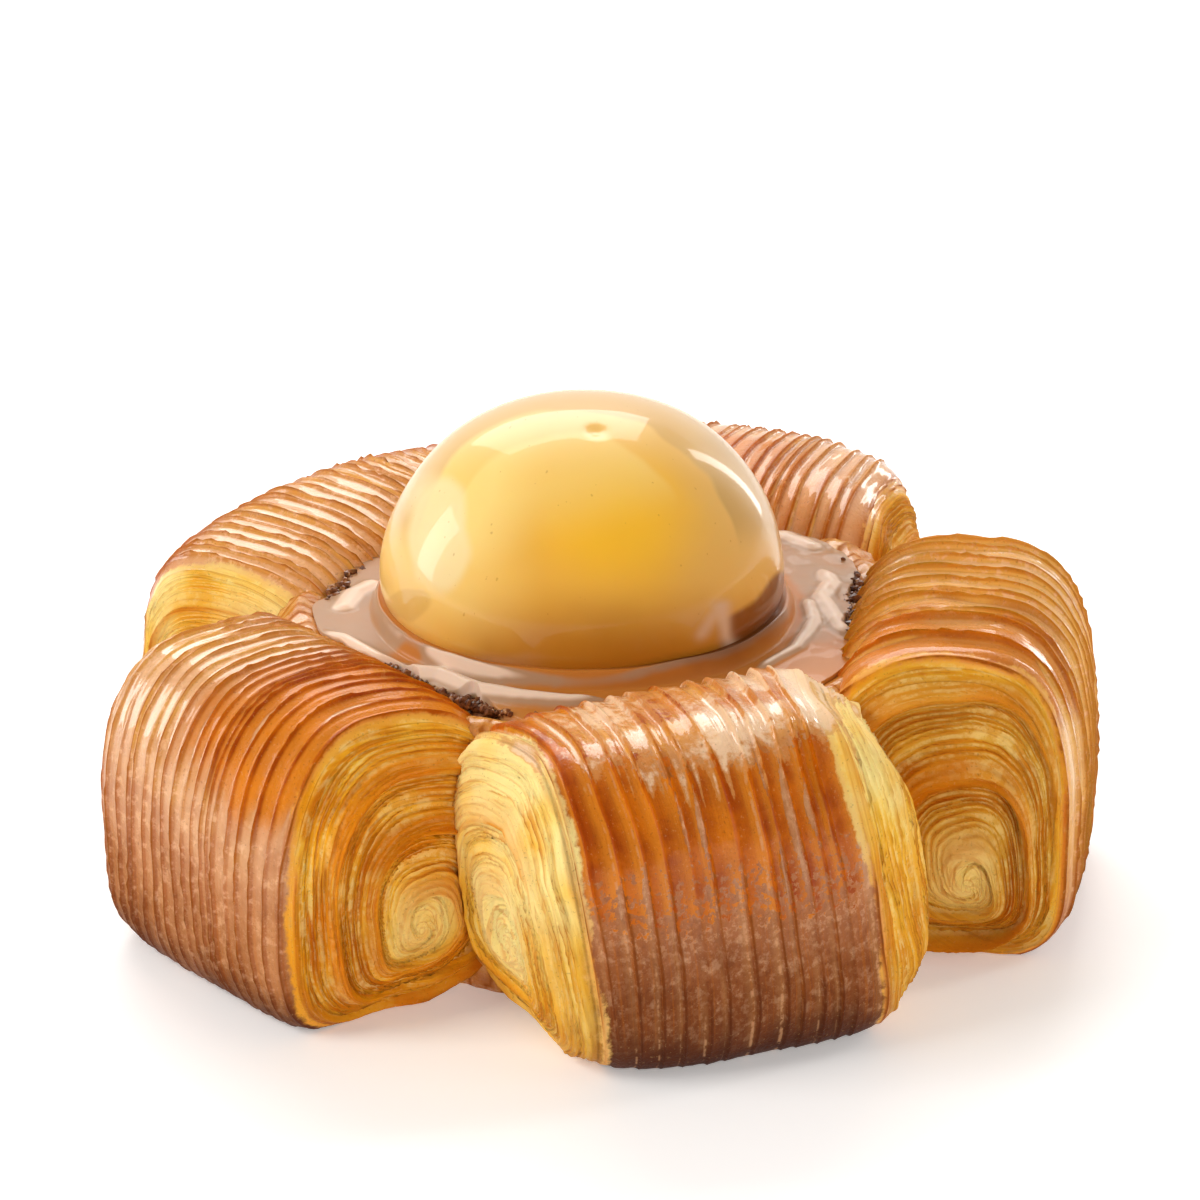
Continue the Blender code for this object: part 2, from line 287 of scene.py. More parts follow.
# each lobe: turn is its direction, shift moves it sideways and length lies between its end faces; bend is the radius
# of its own curve; crest is the radius and height of its top, outer and belly those of its outermost line; ends and
# rounds are how far its end faces bulge and how roundly; flare widens its inner side at each end; lean and tilt move
# its top; taper thins it towards the ends; foot is the squareness of its foot, corners the rounding at each end
# pitch, depth and shingle are its ridges; wrap and wrapTop are how far they cover each end; coils is where the coil's
# centre lies on each end, with that many turns that step up, leaves and a recess
# toast, golden and the orange amounts are its baking; soaked is the amber amount at each end, then the heights where
# it starts, is full and ends, and where it starts from the middle; glaze, blisters, painted olive shade on each end
# face and pale amounts follow
usualLobe = dict(bend=400, ends=(4, 4), rounds=(1, 1), shift=-1, lean=0, tilt=0, taper=0.06, foot=3,
                 corners=(0.10, 0.10), wrapTop=(0, 0), wrap=(0.93, 0.93), turns=3.2, stepUp=(1, 1), leafy=(1, 1),
                 recess=(0, 0), toast=0.65, golden=0, glaze=0.35, blistered=0.15, olive=(0.1, 0.1), pale=(0.3, 0.3))
lobes = {
    "front": dict(turn=-72, length=34, crest=(45, 38.6), outer=58, belly=15, ends=(5.5, 8), rounds=(0.7, 0.8),
                  flare=(5, 3), shift=-2.4, lean=-2.5, tilt=0.035, foot=3.2, corners=(0.03, 0.06),
                  pitch=2.6, depth=0.75, shingle=0.75, seed=11, wrapTop=(0.03, 0.1), wrap=(0.92, 0.98),
                  coils=((1, -2.5), (0, 0)), turns=3.0, stepUp=(0.5, 0.8), leafy=(0.7, 0.7),
                  toast=0.85, orange=(1.5, 1.5), soaked=(1, 1, 14, 31, 36, 0), glaze=0.9, blistered=1,
                  olive=(0, 0), pale=(1.25, 1.1)),
    # its first end face lies in the front lobe's shadow; its olive amount there is painted shade
    "right": dict(turn=-9, length=37, crest=(45, 38.6), outer=58.5, belly=12, ends=(2.5, 4), flare=(3.5, 2.5),
                  foot=3.4, pitch=2.8, depth=1.1, shingle=0.35, seed=23, wrap=(0.99, 0.95),
                  coils=((4.5, -2.5), (0, 0)), turns=2.6, stepUp=(3.0, 1.0), leafy=(0.95, 1), recess=(1.6, 0),
                  toast=0.4, golden=0.7, orange=(0.4, 0.1), soaked=(0.8, -1.6, 26, 32, 60, 0),
                  olive=(0.4, 0.1), pale=(0.3, 0.4)),
    "backRight": dict(turn=66, length=38, crest=(47, 37.5), outer=57, belly=17, flare=(3, 2.5), shift=0, taper=0.12,
                      pitch=2.0, depth=0.6, shingle=0.3, seed=37, coils=((2, -3), (1, 2)),
                      orange=(0.2, 0.2), soaked=(0.3, 1.3, 27, 32, 34, 0), glaze=0.6, olive=(0.2, 0.1)),
    "backLeft": dict(turn=140, length=50, bend=80, crest=(45, 35.5), outer=56.5, belly=17, flare=(2, 3),
                     pitch=1.9, depth=0.8, shingle=0.2, seed=41, wrapTop=(0, 0.05), coils=((1, 0), (3, -2)),
                     stepUp=(1.0, 0.5), leafy=(1, 0.5), orange=(0.35, 0.35), soaked=(0.9, 0.6, 17, 28, 60, 48),
                     pale=(0.3, 1.0)),
    "frontLeft": dict(turn=220, length=37, crest=(45, 36.5), outer=59, belly=14, flare=(2.5, 4), shift=-3, foot=4,
                      pitch=1.75, depth=0.75, shingle=0.15, seed=53, wrapTop=(0, 0.03), wrap=(0.93, 0.96),
                      coils=((0, 0), (1.0, -3.0)), stepUp=(1.0, 1.5), recess=(0, 0.8), toast=0.7, golden=0.2,
                      orange=(0.25, 0.5), soaked=(-0.6, 1.4, 22, 31, 60, 0), olive=(0.1, 0.05), pale=(0.4, 0.2)),
}
rollShape = {"inner": 27, "topOut": 2.7, "topIn": 3.2, "footIn": 2.2, "sunk": 1.5, "roundStart": 0.8,
             "endPower": 2.8, "flareFrom": 46, "flareTo": 30, "leanHeight": 18, "coilCentre": 3, "leaves": 13,
             "around": 152, "alongRows": 250, "endRows": 195}


def rollSection(lobe):
    # four superellipse quarters joined at the crest and the belly, then spaced evenly by length round the roll
    shape = rollShape
    angle = np.linspace(0, 2 * math.pi, 4001)
    c, s = np.cos(angle), np.sin(angle)
    crestRadius, crestHeight = lobe["crest"]
    width = np.where(c >= 0, lobe["outer"] - crestRadius, crestRadius - shape["inner"])
    height = np.where(s >= 0, crestHeight - lobe["belly"], lobe["belly"] + shape["sunk"])
    power = 2 / np.where(c >= 0, np.where(s >= 0, shape["topOut"], lobe["foot"]),
                         np.where(s >= 0, shape["topIn"], shape["footIn"]))
    radius = crestRadius + width * np.sign(c) * np.abs(c) ** power
    z = lobe["belly"] + height * np.sign(s) * np.abs(s) ** power
    length = np.concatenate([[0], np.cumsum(np.hypot(np.diff(radius), np.diff(z)))])
    even = np.linspace(0, length[-1], shape["around"], endpoint=False)
    return np.interp(even, length, radius), np.interp(even, length, z)


def placeOnFlower(lobe, along, radius, z):
    # the straight roll is bent to its own radius, then turned to its direction
    swing = along / lobe["bend"]
    reach = lobe["bend"] + radius - lobe["crest"][0]
    out = lobe["crest"][0] - lobe["bend"] + reach * np.cos(swing)
    side = reach * np.sin(swing) + lobe["shift"]
    turn = math.radians(lobe["turn"])
    return np.stack([math.cos(turn) * out - math.sin(turn) * side, math.sin(turn) * out + math.cos(turn) * side,
                     z + 0 * out], -1)


def steps(rng, total, pitch, spread):
    # edges of layers of uneven thickness that cover a length from -total to total
    widths = pitch * (1 + spread * rng.uniform(-1, 1, int(3 * total / pitch) + 8))
    edges = np.cumsum(widths)
    return edges - edges[-1] / 2


def layered(distance, edges):
    # layer number and place within the layer, from 0 to 1
    number = np.clip(np.searchsorted(edges, distance) - 1, 0, len(edges) - 2)
    return number, np.clip((distance - edges[number]) / (edges[number + 1] - edges[number]), 0, 1)


def buildLobe(name, lobe, material):
    # A roll: rings of the section along its length, and at each end rings that shrink to the coil's centre over a
    # bulged face. Ridges round the roll and the edges of the coiled layers are added along the surface's normal.
    shape, seed = rollShape, lobe["seed"]
    rng = np.random.default_rng(seed)
    radius, height = rollSection(lobe)
    columns, half = shape["around"], lobe["length"] / 2
    middleRadius, middleHeight = lobe["crest"][0] - shape["coilCentre"], lobe["belly"]
    closing = np.linspace(0.012, 1, shape["endRows"], endpoint=False)
    lengthways = np.linspace(-1, 1, shape["alongRows"])
    sizes = np.concatenate([closing, np.ones(len(lengthways)), closing[::-1]])[:, None]
    share = np.concatenate([-np.ones(len(closing)), lengthways, np.ones(len(closing))])[:, None]

    def atSide(pair):
        return np.where(share < 0, pair[0], pair[1])

    past = np.clip(np.abs(share) - shape["roundStart"], 0, 1) / (1 - shape["roundStart"])
    width = 1 - lobe["taper"] * np.abs(share) ** 3 - atSide(lobe["corners"]) * past ** 2.5
    bulge = atSide(lobe["ends"]) * (1 - sizes ** shape["endPower"]) ** atSide(lobe["rounds"])
    along = share * half + share * bulge
    coilRadius, coilHeight = (atSide(pair) * (1 - sizes ** 1.2) for pair in zip(*lobe["coils"]))
    scale = width * sizes
    ringRadius = middleRadius + coilRadius + (radius - middleRadius) * scale
    ringHeight = (middleHeight + coilHeight + (height - middleHeight) * scale) * (1 + lobe["tilt"] * share)
    flare = atSide(lobe["flare"]) * share * np.abs(share)
    alongGrid = along + flare * smooth(shape["flareFrom"], shape["flareTo"], ringRadius) \
        + lobe["lean"] * (ringHeight - shape["leanHeight"]) / shape["leanHeight"]
    base = placeOnFlower(lobe, alongGrid, ringRadius, ringHeight)
    normal = surfaceNormals(base)
    turnShare = np.arange(columns) / columns
    cx, cy = np.cos(2 * math.pi * turnShare)[None], np.sin(2 * math.pi * turnShare)[None]
    x, y, z = base[..., 0], base[..., 1], base[..., 2]

    def lumps(size, salt, octaves=1, at=0.0):
        # noise in real millimetres
        return cloud(at + x / size, y / size, z / size, octaves, seed + salt)

    # ridges round the roll: rounded layers parted by narrow grooves, mixed with shingles that have a thin raised lip
    beyond = np.maximum(np.abs(along) - half + 1.0, 0) * np.sign(along)
    wave = along + 1.2 * beyond + 0.8 * noise3(cx * 1.6 + 5, cy * 1.6, along / 9, seed) \
        + 0.09 * cloud(cx * 5, cy * 5, along / 3, 2, seed + 1)
    edges = steps(rng, half + 26, lobe["pitch"], 0.42)
    number, inside = layered(wave, edges)
    thick = edges[number + 1] - edges[number]
    nearEdge = number + (inside > 0.5)
    held = smooth(-0.75, -0.1, noise3(nearEdge * 3.7, cx * 1.7, cy * 1.7 + 4, seed + 3))
    groove = np.exp(-(np.minimum(inside, 1 - inside) * thick / 0.20) ** 1.5) * (0.25 + 0.75 * held)
    mound = 1 - np.abs(2 * inside - 1) ** 3
    strength = 0.8 + 0.4 * noise3(number * 7.3, cx * 2.3 + 9, cy * 2.3, seed + 2)
    lip = smooth(0.25, 0.86, inside) * smooth(1.0, 0.9, inside) * (0.5 + 0.5 * held)
    step = noise3(number * 5.1, cx * 1.5, cy * 1.5, seed + 4)
    stripStart = 1.02 - 0.5 * smooth(-0.3, 0.9, noise3(number * 4.1, cx * 2.6, cy * 2.6 + 7, seed + 18))
    strip = smooth(stripStart - 0.04, stripStart + 0.04, inside) * smooth(1.0, 0.97, inside)
    rounded = 0.45 * mound - 0.75 * groove + 0.25 * (inside - 0.5)
    shingled = 0.75 * lip + 0.15 * mound - 0.30 * groove
    shingle = lobe["shingle"]
    ridge = lobe["depth"] * strength * ((1 - shingle) * rounded + shingle * shingled) + 0.22 * step * (1 - groove)
    ridge = ridge + 0.12 * strip + 0.05 * cloud(wave / 0.5, cx * 2, cy * 2, 2, seed + 19)
    out = np.hypot(x, y)
    outerWall = smooth(48, 55, out)
    ridge = ridge * (0.35 + 0.65 * smooth(0.5, 7, z)) * (1 - 0.3 * outerWall)
    ridge = ridge + 0.5 * lumps(11, 5, 2) + 0.06 * lumps(1.5, 6, 3)

    # coiled layers on the end faces: a spiral of turns that step back one behind the other, each of many thin leaves
    inward = 1 - sizes - (1 - np.abs(share)) * half / 17
    wobble = 0.09 * lumps(8, 7) + 0.016 * lumps(2.2, 8) + 0.006 * lumps(0.7, 20)
    turned = lobe["turns"] * np.sign(inward) * np.abs(inward) ** 0.9 + atSide((-1, 1)) * turnShare + wobble
    leafWidths = 1 + 0.65 * rng.uniform(-1, 1, shape["leaves"])
    turnPart = turned % 1
    leaf, within = layered(turnPart, np.concatenate([[0], np.cumsum(leafWidths / leafWidths.sum())]))
    manyLeaves = atSide(lobe["leafy"])
    leafStrength = np.clip(0.6 + 1.1 * lumps(6, 9, at=leaf * 7.7), 0.08, 1.3)
    leafStrength = leafStrength * (0.3 + 0.7 * smooth(0.72, 0.5, turnPart)) * manyLeaves
    sheet = smooth(0.0, 0.5, within) * smooth(1.0, 0.74, within)
    apart = 0.45 + 0.55 * smooth(-0.3, 0.4, lumps(9, 11, at=3))
    climb = 0.5 - 0.2 * smooth(0, 0.5, turnPart) - 0.8 * smooth(0.45, 0.88, turnPart) + smooth(0.9, 1.0, turnPart)
    split = np.exp(-((turnPart - 0.9) / 0.045) ** 2) * apart
    flaky = 0.62 * leafStrength * (sheet - 0.6) + 0.30 * lumps(4, 10, at=leaf * 5.3) * manyLeaves
    flaky = flaky + atSide(lobe["stepUp"]) * climb * apart - 0.5 * split + 0.4 * lumps(5, 12) + 0.13 * lumps(0.8, 13, 3)
    flaky = flaky * smooth(0.0, 0.12, sizes) * (0.4 + 0.6 * smooth(-0.06, 0.06, inward))
    flaky = flaky - atSide(lobe["recess"]) * smooth(14, 26, z) * smooth(0.99, 0.9, sizes)

    # the ridges run over the rim and give way to the coiled leaves
    lapped = 0.03 * noise3(cx * 3, cy * 3, seed, seed + 17)
    wrapped = 1 - atSide(lobe["wrap"]) - atSide(lobe["wrapTop"]) * smooth(18, 34, z)
    leafy = smooth(wrapped - 0.11, wrapped, inward + lapped)
    onEnd = sizes < 1
    relief = ridge * np.where(onEnd, 0.6, 1.0) * (1 - leafy) + flaky * leafy
    points = base + normal * relief[..., None]
    points[..., 2] = np.maximum(points[..., 2], 0.0)

    # what the material reads
    patchy, golden = lumps(8, 15, 3), lobe["golden"]
    face = 0.5 * smooth(wrapped - 0.2, wrapped - 0.08, inward + lapped + 0.02 * patchy) + 0.5 * leafy
    rounds = np.clip((1 - groove) * (0.62 + 0.38 * mound), 0, 1)
    lips = np.clip(0.46 + 0.54 * lip - 0.45 * groove, 0, 1)
    leafRise = np.clip((1 - (1 - sheet) * np.minimum(leafStrength * 1.4, 1)) * (1 - 0.9 * split), 0, 1)
    # rise is the relief, which the material also paints as shade in the hollows and highlight on the tops
    rise = (1 - leafy) * ((1 - shingle) * rounds + shingle * lips) + leafy * leafRise
    rise = rise + (1 - rise) * 0.75 * smooth(0.4, 0.1, sizes)
    layer = golden * (1 - leafy) + 0.5 + 0.5 * np.where(leafy > 0.5, lumps(5, 14, at=leaf * 9.1), step)
    # where a turn sinks behind the next, painted as shade
    trough = leafy * smooth(0.45, 0.75, turnPart) * smooth(0.93, 0.88, turnPart) * apart * (1.3 * manyLeaves - 0.3)
    toast = lobe["toast"] * (0.2 * (1 - golden) + outerWall * (0.35 + 0.65 * smooth(33, 3, z + 4 * patchy)))
    toast = toast + 0.2 * patchy * (1 - 0.5 * golden) - 0.15 * golden * (1 - outerWall) + 0.5 * smooth(8, 0.5, z)
    atMinus, atPlus, low, high, top, fromMiddle = lobe["soaked"]
    streak = cloud(along / 1.6, cx * 1.6, cy * 1.6, 3, seed + 16)
    amber = (atMinus + (atPlus - atMinus) * (smooth(-0.9, 0.9, share) + 0.25 * patchy)) \
        * smooth(low, high, z + 3 * patchy + 2.0 * streak) * smooth(fromMiddle, fromMiddle + 8, out)
    amber = amber * np.maximum(smooth(top + 2, top - 1, z + 2 * patchy + 1.5 * streak),
                               smooth(47, 43, out + 3 * patchy)) * (1 - 0.9 * strip)
    drips = cloud(along / 0.8, cx * 1.2, cy * 1.2, 2, seed + 21)
    glaze = lobe["glaze"] * smooth(33, 37, z + 2 * patchy + 5 * drips) * (0.62 + 0.6 * patchy + 0.25 * step)
    pale = atSide(lobe["pale"]) * (0.75 + 0.7 * patchy) * (0.4 + 0.6 * smooth(12, 34, z))
    pale = np.clip(pale + 0.6 * smooth(0.5, 0.2, sizes), 0, 1)
    orange = lobe["orange"][0] + (lobe["orange"][1] - lobe["orange"][0]) * smooth(-0.6, 0.4, share)
    # the olive amount is painted shade on end faces that lie in shadow
    values = {"rise": rise, "face": face, "layer": layer, "toast": toast * (1 - 0.55 * leafy), "amber": amber,
              "glaze": glaze, "shine": smooth(10, 28, z + 4 * patchy) * (0.8 + 0.2 * step), "pale": pale,
              "leaves": np.where(onEnd, inward * 26 + 3 * wobble, wave * 1.6), "trough": trough,
              "orange": orange * (1 - 0.8 * outerWall), "blistered": lobe["blistered"],
              "olive": leafy * atSide(lobe["olive"]) * smooth(0.15, 0.45, sizes) * (1 + 0.6 * patchy)}
    for key, data in values.items():
        data = np.broadcast_to(data, x.shape)
        values[key] = np.append(data, (data[0].mean(), data[-1].mean()))
    tips = [points[0].mean(0), points[-1].mean(0)]
    return makePiece("lobe_" + name, material, np.concatenate([points.reshape(-1, 3), tips]),
                     gridFaces(len(sizes), columns), endFans(len(sizes), columns), values)


crust = bakedDough()
doughPieces = []
for lobeName, lobe in lobes.items():
    doughPieces.append(buildLobe(lobeName, {**usualLobe, **lobe}, crust))
print("lobes made")


well = {"narrow": 30.0, "wide": 32.8, "wall": 6.5, "top": 33, "floor": 16, "columns": 340, "around": 150,
        # where torn dough sits further out because the rolls touch, in degrees, and how much of it each seam has
        "touching": (240, 330), "strands": 42, "bundle": 7, "stations": 22, "sides": 10}


def wellRadius(angle):
    # cosine wave between the direction of each lobe and the seams beside it; angle in radians
    turns = np.sort(np.array([lobe["turn"] % 360 for lobe in lobes.values()], float))
    degrees = (np.degrees(angle) - turns[0]) % 360
    marks = np.concatenate([turns - turns[0], [360]])
    number = np.clip(np.searchsorted(marks, degrees, side="right") - 1, 0, len(turns) - 1)
    share = (degrees - marks[number]) / (marks[number + 1] - marks[number])
    return well["narrow"] + (well["wide"] - well["narrow"]) * (0.5 - 0.5 * np.cos(2 * math.pi * share))


def roundTheWell(columns):
    # evenly spaced angles, from 0 to a full turn, as one row
    return np.linspace(0, 2 * math.pi, columns, endpoint=False)[None]


def ringOfProfile(outline, count, columns, roughen, seed):
    # a closed outline of (inset, height) pairs, spaced evenly by length and carried round the well, roughened by noise
    closed = np.array([*outline, outline[0]], float)
    length = np.concatenate([[0], np.cumsum(np.linalg.norm(np.diff(closed, axis=0), axis=1))])
    even = np.linspace(0, length[-1], count, endpoint=False)
    inset, height = (np.interp(even, length, closed[:, k])[:, None] for k in (0, 1))
    angle = roundTheWell(columns)
    radius = wellRadius(angle) - inset
    x, y = radius * np.cos(angle), radius * np.sin(angle)
    bump = roughen * cloud(x / 2.2, y / 2.2, height / 2.2, 3, seed)
    radius = radius + bump
    return np.stack([radius * np.cos(angle), radius * np.sin(angle), np.maximum(height + 0.7 * bump, 0)], -1)


def plainValues(points, **given):
    # the same number for every point of a piece where one is given, and 0 elsewhere
    count = points.size // 3
    return {name: np.broadcast_to(np.asarray(given.get(name, 0.0), float).reshape(-1), count) for name in doughValues}


def buildWeb(material):
    # the dough between the lobes: a wall round the well, higher at the seams than behind the lobes, on a thick floor
    wall, top, floor = well["wall"], well["top"], well["floor"]
    outline = [(-0.75 * wall, 0.0), (-wall, 6), (-wall, top - 5), (-0.8 * wall, top - 1.8), (-0.35 * wall, top - 0.4),
               (-0.1, top - 1.4), (0.6, floor + 6), (2.5, floor), (12, floor), (22, floor), (26, floor - 2), (26, 2),
               (24, 0), (12, 0)]
    points = ringOfProfile(outline, well["around"], well["columns"], 0.9, 71)
    angle = roundTheWell(well["columns"])
    seam = (wellRadius(angle) - well["narrow"]) / (well["wide"] - well["narrow"])
    points[..., 2] -= 3.2 * smooth(top - 8, top, points[..., 2]) * (1 - smooth(0.3, 0.95, seam))
    x, y, z = points[..., 0], points[..., 1], points[..., 2]
    layers = np.degrees(angle) / 3.1
    lines = np.abs((layers + 1.2 * cloud(x / 5, y / 5, z / 3, 2, 5)) % 1 - 0.5) * 2
    values = plainValues(points, rise=lines, face=0.2 + 0.2 * cloud(x / 3, y / 3, z / 3, 2, 6),
                         layer=0.5 + 0.5 * noise3(np.floor(layers), z / 4, 0, 3), shine=0.7, toast=0.35, orange=1.0)
    return makePiece("dough_web", material, points, gridFaces(well["around"], well["columns"], closed=True)[:, ::-1],
                     values=values)


def buildStrands(material):
    # torn dough in each seam: bundles of leaves that sag from one lobe to the next, each a flattened oval carried
    # along an arc
    rng = np.random.default_rng(19)
    turns = sorted(lobe["turn"] % 360 for lobe in lobes.values())
    seams = [(a + b) / 2 for a, b in zip(turns, turns[1:] + [turns[0] + 360])]
    count, each, stations, sides = (well[key] for key in ("strands", "bundle", "stations", "sides"))
    along = np.linspace(0, 1, stations)[None, :, None]
    around = np.linspace(0, 2 * math.pi, sides, endpoint=False)[None, None, :]
    pointsAll, layers = [], []

    def bundled(low, high, own=0.15):
        # one number for each bundle of leaves, a little different for each leaf in it
        shared = np.repeat(rng.uniform(low, high, count // each), each) + own * (high - low) * rng.uniform(-1, 1, count)
        return shared[:, None, None]

    place = np.tile(np.arange(each), count // each)[:, None, None] - each / 2
    for seam in seams:
        narrow = well["touching"][0] < seam < well["touching"][1]
        radius = bundled(35, 42.5 if narrow else 37, 0.05) + 0.35 * place
        height = bundled(8, 29, 0.03) + 0.5 * place - (radius - 33.5) * (0.15 if narrow else 0.25)
        spread = np.interp(radius, (33.5, 38, 44), (3.0, 2.6, 1.4)) if narrow else (radius - 31) * 0.42 + 2.2
        spread = spread * rng.uniform(0.95, 1.15, (count, 1, 1))
        tilt = bundled(-3, 3)
        bow = bundled(-2.0, 1.0)
        out = radius + bow * np.sin(math.pi * along) + 0.5 * np.sin(along * 7 + bundled(0, 6, 0.1))
        z = height + tilt * (along - 0.5) - bundled(0.5, 2.5) * np.sin(math.pi * along)
        flat = rng.uniform(0.7, 1.3, (count, 1, 1)) * (0.8 + 0.2 * np.cos(2 * math.pi * along))
        thick = 0.17 + 0.04 * np.sin(along * 12)
        roll = bundled(-0.6, 1.3, 0.1) + bundled(-1.2, 1.2, 0.1) * along
        a, b = flat * np.cos(around), thick * np.sin(around)
        out = out + a * np.sin(roll) + b * np.cos(roll)
        side = (along - 0.5) * 2 * spread
        turn = math.radians(seam)
        pointsAll.append(np.stack([
            math.cos(turn) * out - math.sin(turn) * side, math.sin(turn) * out + math.cos(turn) * side,
            np.maximum(z + a * np.cos(roll) - b * np.sin(roll), 0.3)], -1))
        layers.append(rng.uniform(0, 1, (count, 1, 1)))
    points = np.concatenate(pointsAll)
    shape = points.shape[:3]
    values = plainValues(points, face=1.0, pale=0.7, shine=0.2, orange=0.5,
                         layer=np.broadcast_to(np.concatenate(layers), shape),
                         rise=np.broadcast_to(0.45 + 0.5 * np.abs(np.cos(around)), shape))
    # the open ends of each strand are closed by its first and last rings
    firsts = np.arange(shape[0])[:, None, None] * stations * sides
    fan = np.arange(1, sides - 1)
    cap = np.stack([0 * fan, fan + 1, fan], -1)
    caps = np.concatenate([(firsts + cap).reshape(-1, 3), (firsts + cap[:, [0, 2, 1]]).reshape(-1, 3)
                           + (stations - 1) * sides])
    quads = (gridFaces(stations, sides) + firsts).reshape(-1, 4)
    return makePiece("torn_strands", material, points, quads[:, ::-1], caps[:, ::-1], values)


doughPieces.append(buildWeb(crust))
doughPieces.append(buildStrands(crust))


def crumbMaterial():
    # crushed dark chocolate biscuit: dry, almost matt grains with a few greasy glints
    material, add = newMaterial("crushedChocolateBiscuit")
    grain = add("TexNoise", Vector=add("TexCoord", output="Object"), Scale=1000 / 1.1, Detail=3.0, Roughness=0.55)
    colour = add("Mix", ("MapRange", grain, 0.35, 0.6), "#4A2410", "#87502A")
    colour = add("Mix", ("MapRange", grain, 0.56, 0.68), colour, "#C08C5C")
    bump = add("Bump", Strength=0.6, Distance=0.0003, Height=grain)
    add("OutputMaterial", add("BsdfPrincipled", **{
        "Base Color": colour, "Normal": bump, "Roughness": 0.5, "IOR": 1.45, "Coat Weight": 0.4,
        "Coat Roughness": 0.15}))
    return material


# bare: where the glaze stops short and the crumb shows, as degrees round the well, half width in degrees, depth in mm
crumbLooks = {"rim": 31.4, "bed": (110, 360), "grains": 640, "grainSize": (0.22, 0.62), "seed": 5,
              "bare": ((241, 9, 3.0), (222, 7, 1.6), (7, 8, 2.2), (353, 6, 1.6), (168, 5, 1.8), (75, 6, 1.4))}


def bareDepth(degrees):
    # how far the glaze stops short of the dough: a bell curve at each bare place
    depth = 0 * degrees
    for middle, half, deep in crumbLooks["bare"]:
        away = (degrees - middle + 180) % 360 - 180
        depth = depth + deep * np.exp(-(away / half) ** 2)
    return depth


def buildCrumbBed(material):
    # a closed ring under the glaze whose top is rough with grains
    rim = crumbLooks["rim"]
    outline = [(0.5, 16.4), (0.2, 22), (0.15, rim - 0.6), (0.6, rim), (4, rim - 1), (6, 28), (20, 27.5), (25, 27),
               (25, 17), (24, 16.4), (12, 16.4)]
    rows, columns = crumbLooks["bed"]
    points = ringOfProfile(outline, rows, columns, 0.7, 81)
    return makePiece("crumb_bed", material, points, gridFaces(rows, columns, closed=True)[:, ::-1])


def buildGrains(material):
    # loose grains: small faceted balls with uneven corners, lying on the rim of the crumb
    rng = np.random.default_rng(crumbLooks["seed"])
    t = (1 + 5 ** 0.5) / 2
    ball = np.array([(-1, t, 0), (1, t, 0), (-1, -t, 0), (1, -t, 0), (0, -1, t), (0, 1, t), (0, -1, -t), (0, 1, -t),
                     (t, 0, -1), (t, 0, 1), (-t, 0, -1), (-t, 0, 1)], float)
    ball /= np.linalg.norm(ball[0])
    sides = np.array([(0, 11, 5), (0, 5, 1), (0, 1, 7), (0, 7, 10), (0, 10, 11), (1, 5, 9), (5, 11, 4), (11, 10, 2),
                      (10, 7, 6), (7, 1, 8), (3, 9, 4), (3, 4, 2), (3, 2, 6), (3, 6, 8), (3, 8, 9), (4, 9, 5),
                      (2, 4, 11), (6, 2, 10), (8, 6, 7), (9, 8, 1)])
    count = crumbLooks["grains"]
    bare = np.array(crumbLooks["bare"])
    area = bare[:, 1] * bare[:, 2]
    chosen = rng.choice(len(bare), count, p=area / area.sum())
    degrees = bare[chosen, 0] + bare[chosen, 1] * rng.normal(0, 0.75, count)
    angle = np.radians(degrees)
    inset = (bareDepth(degrees) + 0.4) * rng.uniform(0.0, 1.0, count)
    low, high = crumbLooks["grainSize"]
    size = low + (high - low) * rng.uniform(0, 1, count) ** 2
    radius = wellRadius(angle) - inset
    height = crumbLooks["rim"] + 0.15 + 0.3 * rng.uniform(-1, 1, count) + 0.8 * smooth(1.5, 0.2, inset)
    centre = np.stack([radius * np.cos(angle), radius * np.sin(angle), height], -1)
    shape = ball * (1 + 0.35 * rng.uniform(-1, 1, (count, len(ball), 1))) * rng.uniform(0.7, 1.2, (count, 1, 3))
    points = centre[:, None] + shape * size[:, None, None]
    triangles = (sides + len(ball) * np.arange(count)[:, None, None]).reshape(-1, 3)
    piece = makePiece("crumb_grains", material, points, np.zeros((0, 4), int), triangles)
    piece.data.polygons.foreach_set("use_smooth", np.zeros(len(piece.data.polygons), bool))
    return piece


darkCrumb = crumbMaterial()
crumbPieces = [buildCrumbBed(darkCrumb), buildGrains(darkCrumb)]
print("well and crumb made")

# ropes: the middle line of each in mm, its height and half width
poolLooks = {
    "middle": (-2, 0), "inner": 22.6, "level": 32.4, "footRise": 2.1, "footReach": 25.3, "under": 28.2,
    "rows": 150, "columns": 520,
    # deep is painted shade and reflection near the dome's foot
    "milk": "#B48C6A", "cream": "#EBCDB4", "caramel": "#C27830", "deep": "#6A340A",
    "ropes": (
        (((-33, -6), (-28.5, -12.5), (-22.7, -19.4), (-18.2, -20.5), (-13.5, -25), (-9, -27.2), (-3.4, -28.6),
          (4, -28.8)), 1.3, 1.3),
        (((26, 12), (27.5, 7), (26, 2), (27.5, -4), (28.5, -10)), 0.7, 1.1),
        (((24, 3), (25, -5), (22.5, -13), (17, -20)), 0.6, 0.9),
        (((17, 24), (22, 22), (27, 17)), 0.6, 1.2),
        (((-26, 8), (-29, 4), (-30.5, -2)), 0.6, 1.2)),
}


